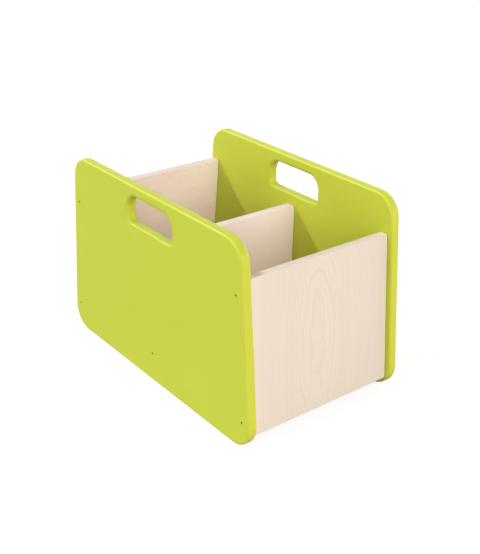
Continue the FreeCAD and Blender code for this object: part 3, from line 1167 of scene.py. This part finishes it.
@dataclass
class PanelScrews:
    """The countersunk screws through the side panels, with their threads and hexagonal sockets."""

    inner_face: float
    nodes: tuple[str, ...] = ("front_board_screws", "rear_board_screws", "middle_divider_screws")
    neck_radius: float = 0.0035
    core_radius: float = 0.0024
    thread_radius: float = 0.0034
    thread_pitch: float = 0.003
    thread_root: float = 0.0011
    thread_crest: float = 0.00022
    thread_bury: float = 0.00024
    thread_fade_turns: float = 2 / 3
    thread_stop: float = 0.001
    rim_height: float = 0.0003
    rim_drop: float = 0.0001
    rim_fall: float = 0.0002
    socket_width: float = 0.004
    socket_depth: float = 0.004
    socket_point: float = 0.0008
    socket_point_radius: float = 0.0002
    tip_radius: float = 0.0009
    tip_length: float = 0.003
    tip_rounding: float = 0.3
    segments: int = 24

    paint_slot: ClassVar[int] = 0
    steel_slot: ClassVar[int] = 1
    painted_spans: ClassVar[int] = 3

    def build(self) -> None:
        """Builds the screws of each node as one piece, which then stands for the node."""
        for node in self.nodes:
            mesh = bmesh.new()
            solids = list(solids_in(node))
            for solid in solids:
                self.add_screw(mesh, solid)
            materials = [PaintedHead().material(), ZincSteel().material()]
            piece = finished_piece(node.replace("screws", "threaded_screws"), mesh, materials)
            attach(piece, BODY)
            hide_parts(node)
            LOG.info("%s: %d screws", piece.name, len(solids))

    def add_screw(self, mesh: bmesh.types.BMesh, solid: Extent) -> None:
        """Adds one screw where its solid lies.

        Args:
            mesh: The mesh to add it to.
            solid: The screw's extent. It lies along X with its head outwards.
        """
        side = math.copysign(1.0, solid.middle.x)
        length = solid.size.x
        head_radius = solid.size.y / 2
        neck_end = length - (max(abs(solid.low.x), abs(solid.high.x)) - self.inner_face)
        shank = bmesh.new()
        rings, painted = self.shank_rings(length, head_radius, neck_end)
        faces = loft(shank, rings)
        for face in faces:
            face.material_index = self.steel_slot
        for face in faces[painted * self.segments:(painted + self.painted_spans) * self.segments]:
            face.material_index = self.paint_slot
        self.add_thread(shank, self.tip_length, neck_end - self.thread_stop)
        turn = Matrix.Rotation(side * math.pi / 2, 4, "Y")
        inner_end = solid.low.x if side > 0 else solid.high.x
        place = Matrix.Translation((inner_end, solid.middle.y, solid.middle.z))
        shank.transform(place @ turn)
        data = bpy.data.meshes.new("screw_in_place")
        shank.to_mesh(data)
        shank.free()
        mesh.from_mesh(data)
        bpy.data.meshes.remove(data)

    def shank_rings(self, length: float, head_radius: float, neck_end: float) -> tuple[list[Ring], int]:
        """Works out the turned form from the tip to the bottom of the socket.

        Args:
            length: The screw's whole length.
            head_radius: The head's radius at its rim.
            neck_end: How far from the tip the thicker neck starts.

        Returns:
            The rings, and how many spans come before the painted ones, which are the rim, its rounded
            edge and the flat top.
        """
        neck_rise = self.neck_radius - self.core_radius
        turned = [
            (0.0, self.tip_radius * self.tip_rounding),
            (self.tip_length * self.tip_rounding, self.tip_radius),
            (self.tip_length, self.core_radius),
            (neck_end - neck_rise, self.core_radius),
            (neck_end, self.neck_radius),
            (length - self.rim_height - (head_radius - self.neck_radius), self.neck_radius),
            (length - self.rim_height, head_radius),
            (length - self.rim_drop, head_radius),
            (length, head_radius - self.rim_fall),
        ]
        floor = length - self.socket_depth
        socket = [
            (length, self.socket_radius),
            (floor, self.socket_radius),
            (floor - self.socket_point, self.socket_point_radius),
        ]
        rings = [turned_ring(height, radius, self.segments) for height, radius in turned + socket]
        return rings, len(turned) - self.painted_spans

    def socket_radius(self, angle: float) -> float:
        """The distance from the screw's axis to its socket's wall at one angle."""
        sixth = math.pi / 3
        return self.socket_width / 2 / math.cos(angle % sixth - sixth / 2)

    def add_thread(self, mesh: bmesh.types.BMesh, start: float, end: float) -> None:
        """Adds the thread as a closed ridge that winds up the core and fades out at both ends.

        Args:
            mesh: The mesh to add it to.
            start: How far from the tip it starts.
            end: How far from the tip it ends.
        """
        turns = (end - start) / self.thread_pitch
        steps = round(turns * self.segments)
        root, flat = self.thread_root / 2, self.thread_crest / 2
        buried = self.core_radius - self.thread_bury
        rings = []
        for step in range(steps + 1):
            angle = 2 * math.pi * step / self.segments
            middle = start + (end - start) * step / steps
            fade = min(1.0, min(step, steps - step) / (self.segments * self.thread_fade_turns))
            crest = buried + (self.thread_radius - buried) * fade
            ring = []
            for along, radius in ((-root, buried), (-flat, crest), (flat, crest), (root, buried)):
                point = (radius * math.cos(angle), radius * math.sin(angle), middle + along)
                ring.append(Vector(point))
            rings.append(ring)
        for face in loft(mesh, rings):
            face.material_index = self.steel_slot


@dataclass
class GroovedDowels:
    """The beech dowels in the joints, with glue grooves along them and chamfered ends."""

    nodes: tuple[str, ...] = (
        "front_board_dowels",
        "rear_board_dowels",
        "middle_divider_dowels",
        "base_board_dowels",
    )
    chamfer: float = 0.001
    grooves: int = 20
    groove_depth: float = 0.00035
    points_in_groove: int = 4

    def build(self) -> None:
        """Builds the dowels of each node as one piece, which then stands for the node."""
        for node in self.nodes:
            mesh = bmesh.new()
            solids = list(solids_in(node))
            for solid in solids:
                self.add_dowel(mesh, solid)
            piece = finished_piece(node.replace("dowels", "grooved_dowels"), mesh, [BareBeech().material()])
            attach(piece, BODY)
            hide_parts(node)
            LOG.info("%s: %d dowels", piece.name, len(solids))

    def add_dowel(self, mesh: bmesh.types.BMesh, solid: Extent) -> None:
        """Adds one dowel where its solid lies.

        Args:
            mesh: The mesh to add it to.
            solid: The dowel's extent. It lies along X.
        """
        radius = min(solid.size.y, solid.size.z) / 2
        half = solid.size.x / 2

        def grooved(angle: float) -> float:
            """The radius at one angle, which dips into each groove."""
            dip = (1 - math.cos(angle * self.grooves)) / 2
            return radius - self.groove_depth * dip ** 2

        plain = radius - self.chamfer
        inner = half - self.chamfer
        turn = Matrix.Translation(solid.middle) @ Matrix.Rotation(math.pi / 2, 4, "Y")
        rings = []
        for height, radius_at in ((-half, plain), (-inner, grooved), (inner, grooved), (half, plain)):
            ring = turned_ring(height, radius_at, self.grooves * self.points_in_groove)
            rings.append([turn @ point for point in ring])
        loft(mesh, rings)


# ---- Studio


def direction(azimuth: float, elevation: float) -> Vector:
    """The way from the bin to something around it.

    Args:
        azimuth: Degrees about Z. 0 is in front of the front board, and 90 is beside the right panel.
        elevation: Degrees above the floor.

    Returns:
        A unit vector.
    """
    turn, tilt = math.radians(azimuth), math.radians(elevation)
    return Vector((math.sin(turn) * math.cos(tilt), -math.cos(turn) * math.cos(tilt), math.sin(tilt)))


def aimed(away: Vector, roll: float = 0.0) -> Matrix:
    """The turn of a camera or a lamp that looks back along a direction.

    Args:
        away: The way from its target to it.
        roll: Degrees that it is turned about its own line of sight.

    Returns:
        Its rotation.
    """
    level = away.to_track_quat("Z", "Y").to_matrix().to_4x4()
    return level @ Matrix.Rotation(math.radians(roll), 4, "Z")


@dataclass(frozen=True)
class Lamp:
    """One distant lamp. A wide spread makes it a softbox."""

    name: str
    azimuth: float
    elevation: float
    spread: float
    strength: float
    colour: Colour = WHITE


@dataclass
class Studio:
    """White surroundings, a small key lamp behind, and softboxes on all four sides."""

    floor_radius: float = 14.0
    floor_segments: int = 96
    fill: float = 0.02
    lamp_distance: float = 4.0
    target: Vector = field(default_factory=lambda: Vector((0.0, 0.0, 0.2)))
    lamps: tuple[Lamp, ...] = (
        Lamp("key_lamp", 207.0, 40.85, spread=3.5, strength=1.95),
        Lamp("front_softbox", 345.0, 30.0, spread=60.0, strength=2.7),
        Lamp("rear_softbox", 190.0, 9.0, spread=60.0, strength=0.65),
        Lamp("far_side_softbox", 84.0, 10.0, spread=50.0, strength=2.2, colour=(1.0, 0.97, 0.93)),
        Lamp("low_side_softbox", 262.0, 14.0, spread=30.0, strength=1.31, colour=(1.0, 0.955, 0.93)),
    )

    def build(self) -> None:
        """Lays the floor, sets the world and hangs the lamps."""
        self.lay_floor()
        self.set_world()
        for lamp in self.lamps:
            self.hang(lamp)
        LOG.info("studio: floor, world and %d lamps", len(self.lamps))

    def lay_floor(self) -> None:
        """Lays a round floor under the bin."""
        mesh = bmesh.new()
        bmesh.ops.create_circle(mesh, cap_ends=True, segments=self.floor_segments, radius=self.floor_radius)
        floor = finished_piece("studio_floor", mesh, [PaleFloor().material()])

    def set_world(self) -> None:
        """Makes the backdrop white to look at, and the light that it sheds softer."""
        world = bpy.data.worlds.new("white_surroundings")
        bpy.context.scene.world = world
        world.use_nodes = True
        graph = Graph(world.node_tree)
        path = graph.add("ShaderNodeLightPath")
        camera, glossy, through = (
            graph.out(path, ray) for ray in ("Is Camera Ray", "Is Glossy Ray", "Is Transmission Ray")
        )
        seen = graph.math("ADD", camera + glossy, through, clamp=True)
        strength = seen * (1.0 - self.fill) + self.fill
        shader = graph.add("ShaderNodeBackground", {"Color": opaque(WHITE), "Strength": strength})
        graph.add("ShaderNodeOutputWorld", {"Surface": graph.out(shader)})

    def hang(self, lamp: Lamp) -> None:
        """Hangs one lamp that points at the bin.

        Args:
            lamp: The lamp.
        """
        light = bpy.data.lights.new(lamp.name, "SUN")
        light.energy = lamp.strength
        light.color = lamp.colour
        light.angle = math.radians(lamp.spread)
        away = direction(lamp.azimuth, lamp.elevation)
        hung = bpy.data.objects.new(lamp.name, light)
        hung.matrix_world = Matrix.Translation(self.target + away * self.lamp_distance) @ aimed(away)
        bpy.context.scene.collection.objects.link(hung)


@dataclass
class ProductView:
    """The camera, which looks down on the bin's left panel and front board."""

    azimuth: float = -38.41
    elevation: float = 25.926
    roll: float = 1.005
    distance: float = 2.0028
    target: Vector = field(default_factory=lambda: Vector((0.0149, -0.0231, 0.1919)))
    image_height: float = 554.0
    focal_pixels: float = 938.6
    sensor_width: float = 36.0

    def build(self) -> None:
        """Sets up the camera."""
        data = bpy.data.cameras.new("product_view")
        data.sensor_width = self.sensor_width
        data.lens = self.focal_pixels / self.image_height * data.sensor_width
        camera = bpy.data.objects.new("product_view", data)
        bpy.context.scene.collection.objects.link(camera)
        away = direction(self.azimuth, self.elevation)
        camera.matrix_world = Matrix.Translation(self.target + away * self.distance) @ aimed(away, self.roll)
        bpy.context.scene.camera = camera
        LOG.info("camera: %.1f mm lens", data.lens)


# ---- The whole scene


def clear_strangers() -> None:
    """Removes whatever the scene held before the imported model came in, such as a start-up lamp."""
    ours = set(frame["nodes"].values()) | set(frame["bodies"].values())
    for thing in set(bpy.data.objects) - ours:
        bpy.data.objects.remove(thing)


def main() -> None:
    """Dresses the bin piece by piece, and sets the studio, the camera and the Standard view transform."""
    logging.basicConfig(level=logging.INFO, format="%(message)s")
    clear_strangers()
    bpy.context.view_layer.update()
    panels = SidePanels()
    panels.dress()
    CrossBoards().dress()
    PanelScrews(panels.inner_face).build()
    GroovedDowels().build()
    Studio().build()
    ProductView().build()
    bpy.context.scene.view_settings.view_transform = "Standard"


if __name__ == "__main__":
    main()
